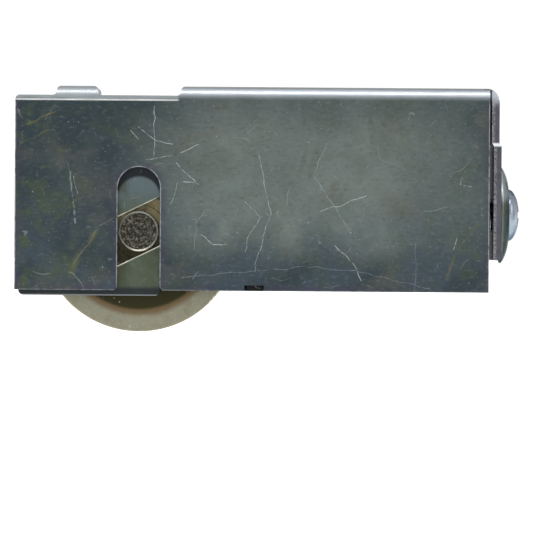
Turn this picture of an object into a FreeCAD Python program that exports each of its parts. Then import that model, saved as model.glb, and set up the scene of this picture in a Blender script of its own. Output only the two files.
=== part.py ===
"""Adjustable sliding door roller, as a parametric FreeCAD document.

A screw through the end flange pulls a nut and an inner carriage along the housing. Two inclined
slots in the carriage drive the wheel's axle up and down in the housing's upright slots.

Frame: millimetres, origin at the middle of the housing's flat top seat, +X towards the screw's
head, +Z up, and Y across the channel. The widths build up from the wheel outwards.
"""
import FreeCAD, Part
import math
import os
import re

import Sketcher

SIZES = [
    # alias, value, what it is
    ("housing_length", 74.6, "side walls, end to end"),
    ("housing_height", 32.15, "top seat to the walls' bottom edge"),
    ("housing_sheet", 1.2, "housing sheet thickness"),
    ("bend_radius", 1.9, "outside radius of the housing's bends"),
    ("lead_opening", 6.5, "open top before the bridge"),
    ("window_clearance", 1.0, "window's end past the raised wheel"),
    ("cutaway_drop", 1.5, "wall tops below the seat where the top is cut away"),
    ("small_hole_dia", 5.6, "hole in the top beyond the screw's tip"),
    ("small_hole_from_end", 31.97, "small hole from the open end"),
    ("large_hole_dia", 8.6, "hole in the top over the nut"),
    ("large_hole_from_far_end", 11.9, "large hole from the walls' screw end"),
    ("slot_clearance", 0.165, "axle neck to the upright slot, each side"),
    ("exit_radius", 0.7, "rounded corners where a slot leaves an edge"),
    ("flange_gap", 0.35, "wall ends to the end flange"),
    ("flange_depth", 27.0, "end flange's lower edge below the seat"),
    ("flange_inset", 0.55, "end flange narrower than the housing, each side"),
    ("joggle", 0.35, "outward step in the end flange"),
    ("joggle_depth", 8.5, "the step below the seat"),
    ("joggle_ramp", 0.6, "height of the step's ramp"),
    ("relief_width", 1.1, "corner notch beside the end bend"),
    ("relief_length", 0.9, "how far the notch runs into the top"),
    ("keeper_from_end", 37.7, "keeper tab from the open end"),
    ("keeper_width", 3.15, "keeper tab along the edge"),
    ("keeper_height", 0.9, "keeper tab above the bottom edge"),
    ("keeper_press", 0.95, "how far the tab is pressed inwards"),
    ("keeper_ramp", 0.45, "slanted end of a tab"),
    ("axle_from_end", 19.5, "axle from the open end"),
    ("wheel_dia", 31.75, "wheel over its lands"),
    ("wheel_width", 7.7, "wheel across both lands"),
    ("groove_radius", 2.95, "half-round rail groove"),
    ("land_rounding", 0.3, "rounded corners of the lands"),
    ("raised_gap", 0.2, "raised wheel below the top seat"),
    ("wheel_projection", 6.57, "wheel below the housing at rest"),
    ("lower_travel", 6.0, "carriage travel that lowers the wheel from rest"),
    ("bearing_dia", 19.05, "bearing seat in the wheel"),
    ("ring_width", 6.2, "bearing's outer ring"),
    ("hub_proud", 0.05, "inner ring proud of the wheel, each side"),
    ("race_gap", 2.0, "inner ring to outer ring, radially"),
    ("ball_dia", 3.175, "bearing ball"),
    ("ball_clearance", 0.1, "ball to its races and its pocket"),
    ("cage_inset", 0.35, "cage to each ring, radially"),
    ("cage_back", 0.45, "half cage behind the balls"),
    ("cage_split", 0.05, "half cage from the middle plane"),
    ("shield_sheet", 0.3, "bearing shield thickness"),
    ("shield_clearance", 0.2, "shield to the inner ring"),
    ("spigot_dia", 7.94, "bush in the inner ring"),
    ("spigot_gap", 0.2, "between the two bushes"),
    ("collar_dia", 11.84, "flange of a bush"),
    ("collar_width", 0.95, "flange of a bush along the axle"),
    ("shoulder_step", 1.06, "shoulder wider than the neck, radially"),
    ("shoulder_width", 0.2, "shoulder along the axle"),
    ("neck_dia", 6.37, "bush neck that runs in the slots"),
    ("neck_chamfer", 0.3, "chamfer on the neck's end"),
    ("rivet_dia", 4.1, "pin through the bushes"),
    ("axle_overhang", 0.3, "axle longer than the housing is wide"),
    ("axle_offset", 0.2, "side play taken up at rest"),
    ("hub_play", 0.4, "bush flange to the carriage wall, each side"),
    ("carriage_sheet", 1.2, "carriage sheet thickness"),
    ("side_clearance", 0.2, "carriage to the housing wall, each side"),
    ("top_clearance", 0.3, "carriage to the housing's top"),
    ("low_top_drop", 1.0, "carriage's top edge lower round the wheel"),
    ("low_top_length", 27.75, "lower top edge from the carriage's open end"),
    ("carriage_from_end", 0.55, "carriage inside the housing's open end at rest"),
    ("adjust_room", 10.0, "carriage's end wall to the housing walls' end"),
    ("carriage_corner", 1.7, "outside radius of the carriage's bends"),
    ("skirt_depth", 0.85, "skirt below the housing's bottom edge"),
    ("skirt_length", 22.25, "skirt along the carriage"),
    ("keeper_clearance", 0.1, "carriage's edge above the keeper tabs"),
    ("nose_length", 6.35, "raised lower edge round the nut"),
    ("nose_step", 2.75, "how far that edge is raised"),
    ("lip_length", 4.4, "lip over the nut, with the end wall"),
    ("slot_angle", 26.0, "slope of the inclined slots"),
    ("slot_fit", 0.225, "axle neck to the inclined slot, each side"),
    ("slot_spare", 0.3, "inclined slot past the axle's travel, each end"),
    ("boss_step", 1.2, "drawn boss wider than the screw's hole, radially"),
    ("boss_height", 0.3, "drawn boss on the end wall"),
    ("screw_depth", 19.87, "screw's axis below the top seat"),
    ("screw_dia", 4.83, "screw's outside diameter"),
    ("screw_point", 0.5, "chamfer at the screw's tip"),
    ("tip_gap", 1.73, "wheel to the screw's tip"),
    ("flange_hole_clearance", 0.25, "screw in the end flange, each side"),
    ("wall_hole_clearance", 0.35, "screw in the carriage's end wall, each side"),
    ("nut_clearance", 0.06, "screw in the nut, each side"),
    ("head_dia", 8.2, "screw's head"),
    ("head_height", 1.7, "screw's head"),
    ("recess_span", 4.6, "cross recess across its wings"),
    ("recess_wing", 0.95, "width of a wing"),
    ("recess_depth", 1.35, "depth of the recess"),
    ("nut_side_clearance", 0.3, "nut's flats to the carriage walls"),
    ("nut_thickness", 4.45, "nut along the screw"),
    ("nut_chamfer", 0.6, "chamfer on the nut's corners"),
    ("washer_dia", 15.25, "dished washer"),
    ("washer_sheet", 0.85, "dished washer's sheet"),
    ("washer_height", 1.45, "dished washer along the screw"),
    ("washer_rim", 0.37, "height of its rim"),
    ("washer_rounding", 7.0, "curve of its dome in section"),
    ("washer_seat", 1.1, "ring of the washer that rests on the flange"),
    ("washer_clearance", 0.5, "screw in the washer, each side"),
    ("washer_offset", 0.3, "washer off the screw's axis"),
]
BALL_COUNT = 9

doc = FreeCAD.newDocument("door_roller")
sheet = doc.addObject("Spreadsheet::Sheet", "sizes")
for row, (alias, value, meaning) in enumerate(SIZES, start=1):
    sheet.set(f"A{row}", meaning)
    sheet.set(f"B{row}", str(value))
    sheet.setAlias(f"B{row}", alias)
doc.recompute()

# Lengths that several pieces share, each worked out from the sheet.
SHARED = {
    "half_length": "(housing_length / 2)",
    "axle_x": "(axle_from_end - half_length)",
    "wheel_r": "(wheel_dia / 2)",
    "axle_z": "(wheel_r - housing_height - wheel_projection)",
    "top_axle_z": "(-raised_gap - wheel_r)",
    "hub_half": "(wheel_width / 2 + hub_proud)",
    "carriage_inner": "(hub_half + collar_width + hub_play)",
    "carriage_half": "(carriage_inner + carriage_sheet)",
    "housing_inner": "(carriage_half + side_clearance)",
    "housing_half": "(housing_inner + housing_sheet)",
    "axle_half": "(housing_half + axle_overhang / 2)",
    "flange_x": "(half_length + flange_gap + joggle)",
    "seat_x": "(flange_x + housing_sheet)",
    "head_x": "(seat_x + washer_height)",
    "carriage_start": "(carriage_from_end - half_length)",
    "carriage_end": "(half_length - adjust_room)",
    "wall_x": "(carriage_end - carriage_sheet)",
    "carriage_top": "(-housing_sheet - top_clearance)",
    "carriage_edge": "(keeper_height + keeper_clearance - housing_height)",
    "pitch_r": "((bearing_dia + spigot_dia) / 4)",
    "inner_ring_r": "(pitch_r - race_gap / 2)",
    "outer_ring_r": "(pitch_r + race_gap / 2)",
    "groove_r": "(ball_dia / 2 + ball_clearance)",
    "screw_r": "(screw_dia / 2)",
    "window_half": "(sqrt(wheel_r ^ 2 - (wheel_r + raised_gap - housing_sheet) ^ 2)"
                   " + window_clearance)",
    "rise": "(top_axle_z - axle_z)",
}
ALIASES = {alias for alias, _, _ in SIZES}


def formula(text):
    """Write a formula in the sheet's words as a FreeCAD expression."""
    word = re.compile(r"[a-z][a-z_]+")
    while any(name in SHARED for name in word.findall(text)):
        text = word.sub(lambda found: SHARED.get(found.group(), found.group()), text)
    return word.sub(lambda found: "sizes." + found.group() if found.group() in ALIASES
                    else found.group(), text)


def number(text):
    """Value of a formula, in millimetres."""
    return float(sheet.evalExpression(formula(text)))


def bind(feature, **formulas):
    """Bind properties of a feature to formulas."""
    for name, text in formulas.items():
        feature.setExpression(name.replace("__", "."), formula(text))
    return feature


def place(feature, x="0", y="0", z="0", turn=None):
    """Bind a feature's position, and turn it about an axis by a number of degrees."""
    if turn:
        axis, angle = turn
        feature.Placement = FreeCAD.Placement(FreeCAD.Vector(), FreeCAD.Rotation(axis, angle))
    return bind(feature, Placement__Base__x=x, Placement__Base__y=y, Placement__Base__z=z)


X_AXIS = FreeCAD.Vector(1, 0, 0)
Y_AXIS = FreeCAD.Vector(0, 1, 0)
Z_AXIS = FreeCAD.Vector(0, 0, 1)
ALONG_X = (Y_AXIS, 90)      # turns a primitive's own Z axis to +X
ALONG_Y = (X_AXIS, -90)     # turns a primitive's own Z axis to +Y


def box(name, low, high):
    """Box between two corners, each a triple of formulas."""
    feature = doc.addObject("Part::Box", name)
    sides = [f"({top}) - ({bottom})" for bottom, top in zip(low, high)]
    bind(feature, Length=sides[0], Width=sides[1], Height=sides[2])
    return place(feature, *low)


def cylinder(name, radius, length, x="0", y="0", z="0", turn=None):
    feature = doc.addObject("Part::Cylinder", name)
    bind(feature, Radius=radius, Height=length)
    return place(feature, x, y, z, turn)


def torus(name, ring_radius, tube_radius, x="0", y="0", z="0"):
    """Torus round an axis along Y."""
    feature = doc.addObject("Part::Torus", name)
    bind(feature, Radius1=ring_radius, Radius2=tube_radius)
    return place(feature, x, y, z, ALONG_Y)


def fuse(name, pieces):
    feature = doc.addObject("Part::MultiFuse", name)
    feature.Shapes = pieces
    return feature


def cut(name, base, tools):
    tool = tools[0] if len(tools) == 1 else fuse(name + "_cuts", tools)
    feature = doc.addObject("Part::Cut", name)
    feature.Base = base
    feature.Tool = tool
    return feature


def common(name, pieces):
    feature = doc.addObject("Part::MultiCommon", name)
    feature.Shapes = pieces
    return feature


def new_body(name, x="0", y="0", z="0"):
    return place(doc.addObject("PartDesign::Body", name), x, y, z)


def origin_feature(body, role):
    return next(item for item in body.Origin.OriginFeatures if item.Role == role)


def outline(body, name, plane, *wires, lift=None):
    """Sketch of closed wires on one of the body's own planes, lifted off it by a formula.

    A wire is a list of points whose coordinates are formulas. A third entry on a point makes
    the side after it an arc of that radius: a minus sign in front bulges it to the right.
    """
    sketch = body.newObject("Sketcher::SketchObject", name)
    sketch.AttachmentSupport = [(origin_feature(body, plane), "")]
    sketch.MapMode = "FlatFace"
    if lift:
        bind(sketch, AttachmentOffset__Base__z=lift)
    for points in wires:
        draw_wire(sketch, points)
    return sketch


def draw_wire(sketch, points):
    places = [FreeCAD.Vector(number(point[0]), number(point[1]), 0) for point in points]
    sides = []
    for point, start, end in zip(points, places, places[1:] + places[:1]):
        if len(point) == 2:
            sides.append((sketch.addGeometry(Part.LineSegment(start, end), False), 1, 2, None))
            continue
        to_right = point[2].startswith("-")
        radius = point[2].lstrip("-")
        half_chord = (end - start) * 0.5
        left = FreeCAD.Vector(-half_chord.y, half_chord.x, 0).normalize()
        offset = math.sqrt(number(radius) ** 2 - half_chord.Length ** 2)
        centre = start + half_chord + left * (offset if to_right else -offset)
        first, last = (start, end) if to_right else (end, start)
        angles = [math.atan2(spot.y - centre.y, spot.x - centre.x) for spot in (first, last)]
        circle = Part.Circle(centre, Z_AXIS, number(radius))
        side = sketch.addGeometry(Part.ArcOfCircle(circle, *angles), False)
        sides.append((side, 1, 2, radius) if to_right else (side, 2, 1, radius))
    for (side, _, end, _), (following, start, _, _) in zip(sides, sides[1:] + sides[:1]):
        sketch.addConstraint(Sketcher.Constraint("Coincident", side, end, following, start))
    for (side, start, _, radius), point, spot in zip(sides, points, places):
        tie(sketch, Sketcher.Constraint("DistanceX", -1, 1, side, start, spot.x), point[0])
        tie(sketch, Sketcher.Constraint("DistanceY", -1, 1, side, start, spot.y), point[1])
        if radius:
            tie(sketch, Sketcher.Constraint("Radius", side, number(radius)), radius)


def tie(sketch, constraint, text):
    index = sketch.addConstraint(constraint)
    sketch.setExpression(f"Constraints[{index}]", formula(text))


def pad(body, sketch, length, both_ways=False):
    feature = body.newObject("PartDesign::Pad", sketch.Name + "_pad")
    feature.Profile = sketch
    feature.Midplane = both_ways
    return bind(feature, Length=length)


def pocket_through(body, sketch):
    """Cut a sketch right through the body, both ways."""
    feature = body.newObject("PartDesign::Pocket", sketch.Name + "_cut")
    feature.Profile = sketch
    feature.Midplane = True
    return bind(feature, Length="2 * (housing_length + housing_height)")


def pocket_up(body, sketch, depth):
    feature = body.newObject("PartDesign::Pocket", sketch.Name + "_cut")
    feature.Profile = sketch
    feature.Reversed = True
    return bind(feature, Length=depth)


def revolve(body, sketch, axis):
    feature = body.newObject("PartDesign::Revolution", sketch.Name + "_turn")
    feature.Profile = sketch
    feature.ReferenceAxis = (origin_feature(body, axis), [""])
    feature.Angle = 360
    return feature


def mirrored(points):
    """The same wire on the other side of the middle plane, whose second coordinate is Y."""
    return [(x, f"-({y})") for x, y in points]


# ---------------------------------------------------------------------------------------
# Outer housing: one pressing, open below and at the end away from the screw.
# ---------------------------------------------------------------------------------------
housing_blank = new_body("housing_blank")
inner_bend = "bend_radius - housing_sheet"
pad(housing_blank, outline(housing_blank, "channel", "YZ_Plane", [
    ("-housing_half", "-housing_height"),
    ("-housing_half", "-bend_radius", "bend_radius"),
    ("-housing_half + bend_radius", "0"),
    ("housing_half - bend_radius", "0", "bend_radius"),
    ("housing_half", "-bend_radius"),
    ("housing_half", "-housing_height"),
    ("housing_inner", "-housing_height"),
    ("housing_inner", "-bend_radius", f"-({inner_bend})"),
    (f"housing_inner - ({inner_bend})", "-housing_sheet"),
    (f"-housing_inner + ({inner_bend})", "-housing_sheet", f"-({inner_bend})"),
    ("-housing_inner", "-bend_radius"),
    ("-housing_inner", "-housing_height"),
]), "housing_length", both_ways=True)

upper_in = "half_length + flange_gap"
upper_out = "half_length + flange_gap + housing_sheet"
pad(housing_blank, outline(housing_blank, "end_bend", "XZ_Plane", [
    ("half_length - relief_length - housing_sheet", "0"),
    (f"{upper_out} - bend_radius", "0", "bend_radius"),
    (upper_out, "-bend_radius"),
    (upper_out, "-bend_radius - housing_sheet"),
    (upper_in, "-bend_radius - housing_sheet"),
    (upper_in, "-bend_radius", f"-({inner_bend})"),
    (f"{upper_in} - ({inner_bend})", "-housing_sheet"),
    ("half_length - relief_length - housing_sheet", "-housing_sheet"),
]), "2 * (housing_inner - relief_width)", both_ways=True)

pad(housing_blank, outline(housing_blank, "end_flange", "XZ_Plane", [
    (upper_in, "-bend_radius"),
    (upper_out, "-bend_radius"),
    (upper_out, "-joggle_depth"),
    ("seat_x", "-joggle_depth - joggle_ramp"),
    ("seat_x", "-flange_depth"),
    ("flange_x", "-flange_depth"),
    ("flange_x", "-joggle_depth - joggle_ramp"),
    (upper_in, "-joggle_depth"),
]), "2 * (housing_half - flange_inset)", both_ways=True)

left = "axle_x - window_half"
right = "axle_x + window_half"
pocket_through(housing_blank, outline(housing_blank, "wheel_window", "XZ_Plane", [
    (f"{left} - exit_radius", "housing_sheet"),
    (f"{left} - exit_radius", "0", "exit_radius"),
    (left, "-exit_radius"),
    (left, "exit_radius - cutaway_drop", "-exit_radius"),
    (f"{left} + exit_radius", "-cutaway_drop"),
    (f"{right} - exit_radius", "-cutaway_drop", "-exit_radius"),
    (right, "exit_radius - cutaway_drop"),
    (right, "-exit_radius", "exit_radius"),
    (f"{right} + exit_radius", "0"),
    (f"{right} + exit_radius", "housing_sheet"),
]))

bridge = "lead_opening - half_length"
pocket_through(housing_blank, outline(housing_blank, "open_lead", "XZ_Plane", [
    ("-half_length - housing_sheet", "housing_sheet"),
    ("-half_length - housing_sheet", "-cutaway_drop - exit_radius"),
    ("-half_length", "-cutaway_drop - exit_radius", "exit_radius"),
    ("exit_radius - half_length", "-cutaway_drop"),
    (f"{bridge} - exit_radius", "-cutaway_drop", "-exit_radius"),
    (bridge, "exit_radius - cutaway_drop"),
    (bridge, "-exit_radius", "exit_radius"),
    (f"{bridge} + exit_radius", "0"),
    (f"{bridge} + exit_radius", "housing_sheet"),
]))

slot_half = "(neck_dia / 2 + slot_clearance)"
pocket_through(housing_blank, outline(housing_blank, "axle_slot", "XZ_Plane", [
    (f"axle_x - {slot_half} - exit_radius", "-housing_height", "-exit_radius"),
    (f"axle_x - {slot_half}", "exit_radius - housing_height"),
    (f"axle_x - {slot_half}", "top_axle_z", slot_half),
    ("axle_x", f"top_axle_z + {slot_half}", slot_half),
    (f"axle_x + {slot_half}", "top_axle_z"),
    (f"axle_x + {slot_half}", "exit_radius - housing_height", "-exit_radius"),
    (f"axle_x + {slot_half} + exit_radius", "-housing_height"),
    (f"axle_x + {slot_half} + exit_radius", "-housing_height - housing_sheet"),
    (f"axle_x - {slot_half} - exit_radius", "-housing_height - housing_sheet"),
]))

notch = [
    ("half_length - relief_length", "housing_inner - relief_width"),
    (f"{upper_out}", "housing_inner - relief_width"),
    (f"{upper_out}", "housing_inner"),
    ("half_length - relief_length", "housing_inner"),
]
pocket_up(housing_blank, outline(housing_blank, "relief_notches", "XY_Plane", notch,
                                 mirrored(notch), lift="-bend_radius"), "bend_radius")

keeper_low = "keeper_from_end - half_length - keeper_width / 2"
keeper_high = "keeper_from_end - half_length + keeper_width / 2"
dent = [
    (keeper_low, "-housing_half - housing_sheet"),
    (keeper_high, "-housing_half - housing_sheet"),
    (keeper_high, "-housing_half"),
    (f"{keeper_high} - keeper_ramp", "keeper_press - housing_half"),
    (f"{keeper_low} + keeper_ramp", "keeper_press - housing_half"),
    (keeper_low, "-housing_half"),
]
tab = [
    (keeper_low, "-housing_inner"),
    (keeper_high, "-housing_inner"),
    (f"{keeper_high} - keeper_ramp", "keeper_press - housing_inner"),
    (f"{keeper_low} + keeper_ramp", "keeper_press - housing_inner"),
]
pocket_up(housing_blank, outline(housing_blank, "keeper_dents", "XY_Plane", dent,
                                 mirrored(dent), lift="-housing_height"), "keeper_height")
pad(housing_blank, outline(housing_blank, "keeper_tabs", "XY_Plane", tab, mirrored(tab),
                           lift="-housing_height"), "keeper_height")

cut("outer_housing", housing_blank, [
    cylinder("small_hole", "small_hole_dia / 2", "3 * housing_sheet",
             "small_hole_from_end - half_length", z="-2 * housing_sheet"),
    cylinder("large_hole", "large_hole_dia / 2", "3 * housing_sheet",
             "half_length - large_hole_from_far_end", z="-2 * housing_sheet"),
    cylinder("flange_hole", "screw_r + flange_hole_clearance", "3 * housing_sheet",
             "flange_x - housing_sheet", z="-screw_depth", turn=ALONG_X),
])

# ---------------------------------------------------------------------------------------
# Inner carriage: a strip bent to a U in plan, with a lip over the nut.
# ---------------------------------------------------------------------------------------
carriage_blank = new_body("carriage_blank")
inner_corner = "carriage_corner - carriage_sheet"
pad(carriage_blank, outline(carriage_blank, "strip", "XY_Plane", [
    ("carriage_start", "carriage_inner"),
    ("carriage_start", "carriage_half"),
    ("carriage_end - carriage_corner", "carriage_half", "carriage_corner"),
    ("carriage_end", "carriage_half - carriage_corner"),
    ("carriage_end", "carriage_corner - carriage_half", "carriage_corner"),
    ("carriage_end - carriage_corner", "-carriage_half"),
    ("carriage_start", "-carriage_half"),
    ("carriage_start", "-carriage_inner"),
    (f"wall_x - ({inner_corner})", "-carriage_inner", f"-({inner_corner})"),
    ("wall_x", f"({inner_corner}) - carriage_inner"),
    ("wall_x", f"carriage_inner - ({inner_corner})", f"-({inner_corner})"),
    (f"wall_x - ({inner_corner})", "carriage_inner"),
], lift="-housing_height - skirt_depth"), "housing_height + skirt_depth + carriage_top")

skirt_z = "-housing_height - skirt_depth"
skirt_x = "carriage_start + skirt_length"
nose_x = "carriage_end - nose_length"
pocket_through(carriage_blank, outline(carriage_blank, "lower_edge", "XZ_Plane", [
    (f"{skirt_x} - exit_radius", skirt_z, "-exit_radius"),
    (skirt_x, f"{skirt_z} + exit_radius"),
    (skirt_x, "carriage_edge"),
    (f"{nose_x} - exit_radius", "carriage_edge", "-exit_radius"),
    (nose_x, "carriage_edge + exit_radius"),
    (nose_x, "carriage_edge + nose_step"),
    ("carriage_end + carriage_sheet", "carriage_edge + nose_step"),
    ("carriage_end + carriage_sheet", f"{skirt_z} - carriage_sheet"),
    (f"{skirt_x} - exit_radius", f"{skirt_z} - carriage_sheet"),
]))

low_top_x = "carriage_start + low_top_length"
low_top_z = "carriage_top - low_top_drop"
pocket_through(carriage_blank, outline(carriage_blank, "upper_edge", "XZ_Plane", [
    ("carriage_start - carriage_sheet", "0"),
    ("carriage_start - carriage_sheet", f"{low_top_z} - exit_radius"),
    ("carriage_start", f"{low_top_z} - exit_radius", "exit_radius"),
    ("carriage_start + exit_radius", low_top_z),
    (low_top_x, low_top_z),
    (f"{low_top_x} + low_top_drop", "carriage_top"),
    (f"{low_top_x} + low_top_drop", "0"),
]))

pocket_through(carriage_blank, outline(carriage_blank, "lower_corner", "XZ_Plane", [
    ("carriage_start - carriage_sheet", f"{skirt_z} - carriage_sheet"),
    ("carriage_start + skirt_depth", f"{skirt_z} - carriage_sheet"),
    ("carriage_start + skirt_depth", skirt_z, "skirt_depth"),
    ("carriage_start", f"{skirt_z} + skirt_depth"),
    ("carriage_start - carriage_sheet", f"{skirt_z} + skirt_depth"),
]))

low_x = "(axle_x - lower_travel - slot_spare)"
low_z = "(axle_z - (lower_travel + slot_spare) * tan(slot_angle))"
high_x = "(axle_x + rise / tan(slot_angle) + slot_spare)"
high_z = "(top_axle_z + slot_spare * tan(slot_angle))"
incline_half = "(neck_dia / 2 + slot_fit)"
along = (f"{incline_half} * cos(slot_angle)", f"{incline_half} * sin(slot_angle)")
pocket_through(carriage_blank, outline(carriage_blank, "inclined_slot", "XZ_Plane", [
    (f"{low_x} - {along[1]}", f"{low_z} + {along[0]}"),
    (f"{high_x} - {along[1]}", f"{high_z} + {along[0]}", incline_half),
    (f"{high_x} + {along[0]}", f"{high_z} + {along[1]}", incline_half),
    (f"{high_x} + {along[1]}", f"{high_z} - {along[0]}"),
    (f"{low_x} + {along[1]}", f"{low_z} - {along[0]}", incline_half),
    (f"{low_x} - {along[0]}", f"{low_z} - {along[1]}", incline_half),
]))

pad(carriage_blank, outline(carriage_blank, "lip", "XY_Plane", [
    ("carriage_end - lip_length", "carriage_corner - carriage_half"),
    ("carriage_end", "carriage_corner - carriage_half"),
    ("carriage_end", "carriage_half - carriage_corner"),
    ("carriage_end - lip_length", "carriage_half - carriage_corner"),
], lift="carriage_top - carriage_sheet"), "carriage_sheet")

cut("inner_carriage", fuse("carriage_and_boss", [
    carriage_blank,
    cylinder("boss", "screw_r + wall_hole_clearance + boss_step", "carriage_sheet + boss_height",
             "wall_x", z="-screw_depth", turn=ALONG_X),
]), [
    cylinder("wall_hole", "screw_r + wall_hole_clearance", "3 * carriage_sheet",
             "wall_x - carriage_sheet", z="-screw_depth", turn=ALONG_X),
])

# ---------------------------------------------------------------------------------------
# Adjusting screw, hex nut and dished washer, round one axis along X.
# ---------------------------------------------------------------------------------------
tip_x = "axle_x + wheel_r + tip_gap"
shank = cylinder("shank", "screw_r", f"head_x - ({tip_x}) - screw_point",
                 f"{tip_x} + screw_point", z="-screw_depth", turn=ALONG_X)
point = doc.addObject("Part::Cone", "screw_tip")
bind(point, Radius1="screw_r - screw_point", Radius2="screw_r", Height="screw_point")
place(point, tip_x, z="-screw_depth", turn=ALONG_X)
dome = doc.addObject("Part::Ellipsoid", "head_dome")
dome.Angle1 = 0
bind(dome, Radius1="head_height", Radius2="head_dia / 2", Radius3="head_dia / 2")
place(dome, "head_x", z="-screw_depth", turn=ALONG_X)
recess_low = "head_x + head_height - recess_depth"
recess_high = "head_x + 2 * head_height"
cut("adjusting_screw", fuse("screw_blank", [shank, point, dome]), [
    box("upright_wing", (recess_low, "-recess_wing / 2", "-screw_depth - recess_span / 2"),
        (recess_high, "recess_wing / 2", "recess_span / 2 - screw_depth")),
    box("level_wing", (recess_low, "-recess_span / 2", "-screw_depth - recess_wing / 2"),
        (recess_high, "recess_span / 2", "recess_wing / 2 - screw_depth")),
])

nut_flats = "(2 * (carriage_inner - nut_side_clearance))"
nut_corner = f"({nut_flats} / 2 / cos(30))"
nut_x = "wall_x - nut_thickness"
prism = doc.addObject("Part::Prism", "nut_prism")
prism.Polygon = 6
bind(prism, Circumradius=nut_corner, Height="nut_thickness")
place(prism, nut_x, z="-screw_depth", turn=ALONG_X)
nut_blank = new_body("nut_blank", nut_x, z="-screw_depth")
chamfer_rise = "nut_chamfer * tan(60)"
revolve(nut_blank, outline(nut_blank, "nut_form", "XY_Plane", [
    ("0", "0"),
    ("0", f"{nut_corner} - {chamfer_rise}"),
    ("nut_chamfer", nut_corner),
    ("nut_thickness - nut_chamfer", nut_corner),
    ("nut_thickness", f"{nut_corner} - {chamfer_rise}"),
    ("nut_thickness", "0"),
]), "X_Axis")
cut("hex_nut", common("nut_solid", [prism, nut_blank]), [
    cylinder("nut_bore", "screw_r + nut_clearance", "3 * nut_thickness",
             f"{nut_x} - nut_thickness", z="-screw_depth", turn=ALONG_X),
])

washer = new_body("dished_washer", "seat_x", "washer_offset", "-screw_depth")
washer_r = "(washer_dia / 2)"
bore_r = "(screw_r + washer_clearance)"
crown_r = "(head_dia / 2 + washer_offset)"
revolve(washer, outline(washer, "washer_section", "XY_Plane", [
    ("0", washer_r),
    ("washer_rim", washer_r, "washer_rounding"),
    ("washer_height", crown_r),
    ("washer_height", bore_r),
    ("washer_height - washer_sheet", bore_r),
    ("washer_height - washer_sheet", crown_r),
    ("0", f"{washer_r} - washer_seat"),
]), "X_Axis")

# ---------------------------------------------------------------------------------------
# Axle: two flanged bushes drawn together by a rivet, with the bearing's inner ring between.
# ---------------------------------------------------------------------------------------
HUB = ("axle_x", "axle_offset", "axle_z")
NECK_R = "neck_dia / 2"
for side, name in ((-1, "axle_bush_front"), (1, "axle_bush_back")):
    bush = new_body(name, *HUB)
    section = [
        ("rivet_dia / 2", "spigot_gap / 2"),
        ("spigot_dia / 2", "spigot_gap / 2"),
        ("spigot_dia / 2", "hub_half"),
        ("collar_dia / 2", "hub_half"),
        ("collar_dia / 2", "hub_half + collar_width"),
        (f"{NECK_R} + shoulder_step", "hub_half + collar_width"),
        (f"{NECK_R} + shoulder_step", "hub_half + collar_width + shoulder_width"),
        (NECK_R, "hub_half + collar_width + shoulder_width"),
        (NECK_R, "axle_half - neck_chamfer"),
        (f"{NECK_R} - neck_chamfer", "axle_half"),
        ("rivet_dia / 2", "axle_half"),
    ]
    wire = section if side > 0 else mirrored(section)
    revolve(bush, outline(bush, name + "_section", "XY_Plane", wire), "Y_Axis")

cylinder("axle_rivet", "rivet_dia / 2", "2 * axle_half", "axle_x", "axle_offset - axle_half",
         "axle_z", turn=ALONG_Y)


def disc(name, radius, low, high):
    """Cylinder round the axle, between two places along it from the wheel's middle plane."""
    return cylinder(name, radius, f"({high}) - ({low})", "axle_x", f"axle_offset + ({low})",
                    "axle_z", turn=ALONG_Y)


race = torus("race", "pitch_r", "groove_r", *HUB)
cut("bearing_inner_ring", disc("inner_ring_blank", "inner_ring_r", "-hub_half", "hub_half"), [
    disc("inner_ring_bore", "spigot_dia / 2", "-2 * hub_half", "2 * hub_half"),
    race,
])

# ---------------------------------------------------------------------------------------
# Wheel: grooved rim, with the bearing's outer ring and shields pressed in.
# ---------------------------------------------------------------------------------------
wheel_blank = new_body("wheel_blank", *HUB)
land_corner = "wheel_width / 2 - land_rounding"
revolve(wheel_blank, outline(wheel_blank, "wheel_section", "XY_Plane", [
    ("bearing_dia / 2", "-wheel_width / 2"),
    ("wheel_r - land_rounding", "-wheel_width / 2", "-(land_rounding)"),
    ("wheel_r", f"-({land_corner})"),
    ("wheel_r", land_corner, "-(land_rounding)"),
    ("wheel_r - land_rounding", "wheel_width / 2"),
    ("bearing_dia / 2", "wheel_width / 2"),
]), "Y_Axis")
cut("wheel_rim", wheel_blank, [torus("rail_groove", "wheel_r", "groove_radius", *HUB)])

cut("bearing_outer_ring",
    disc("outer_ring_blank", "bearing_dia / 2", "-ring_width / 2", "ring_width / 2"), [
        disc("outer_ring_bore", "outer_ring_r", "-ring_width", "ring_width"),
        torus("outer_race", "pitch_r", "groove_r", *HUB),
    ])

shield_bore_r = "inner_ring_r + shield_clearance"
shield_in = "ring_width / 2"
shield_out = "ring_width / 2 + shield_sheet"
for sign, name in (("-", "shield_front"), ("", "shield_back")):
    ends = [f"{sign}({shield_in})", f"{sign}({shield_out})"]
    low, high = reversed(ends) if sign else ends
    cut(name, disc(name + "_blank", "bearing_dia / 2", low, high), [
        disc(name + "_bore", shield_bore_r, "-2 * ring_width", "2 * ring_width"),
    ])

# ---------------------------------------------------------------------------------------
# Balls and their two half cages, which run round together.
# ---------------------------------------------------------------------------------------
def sphere(name, radius, angle):
    """Sphere on the pitch circle, at an angle in degrees from the top."""
    feature = doc.addObject("Part::Sphere", name)
    bind(feature, Radius=radius)
    return place(feature, f"axle_x + pitch_r * sin({angle})", "axle_offset",
                 f"axle_z + pitch_r * cos({angle})")


angles = [360 * index / BALL_COUNT for index in range(BALL_COUNT)]
for index, angle in enumerate(angles, start=1):
    sphere(f"ball_{index}", "ball_dia / 2", angle)

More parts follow.
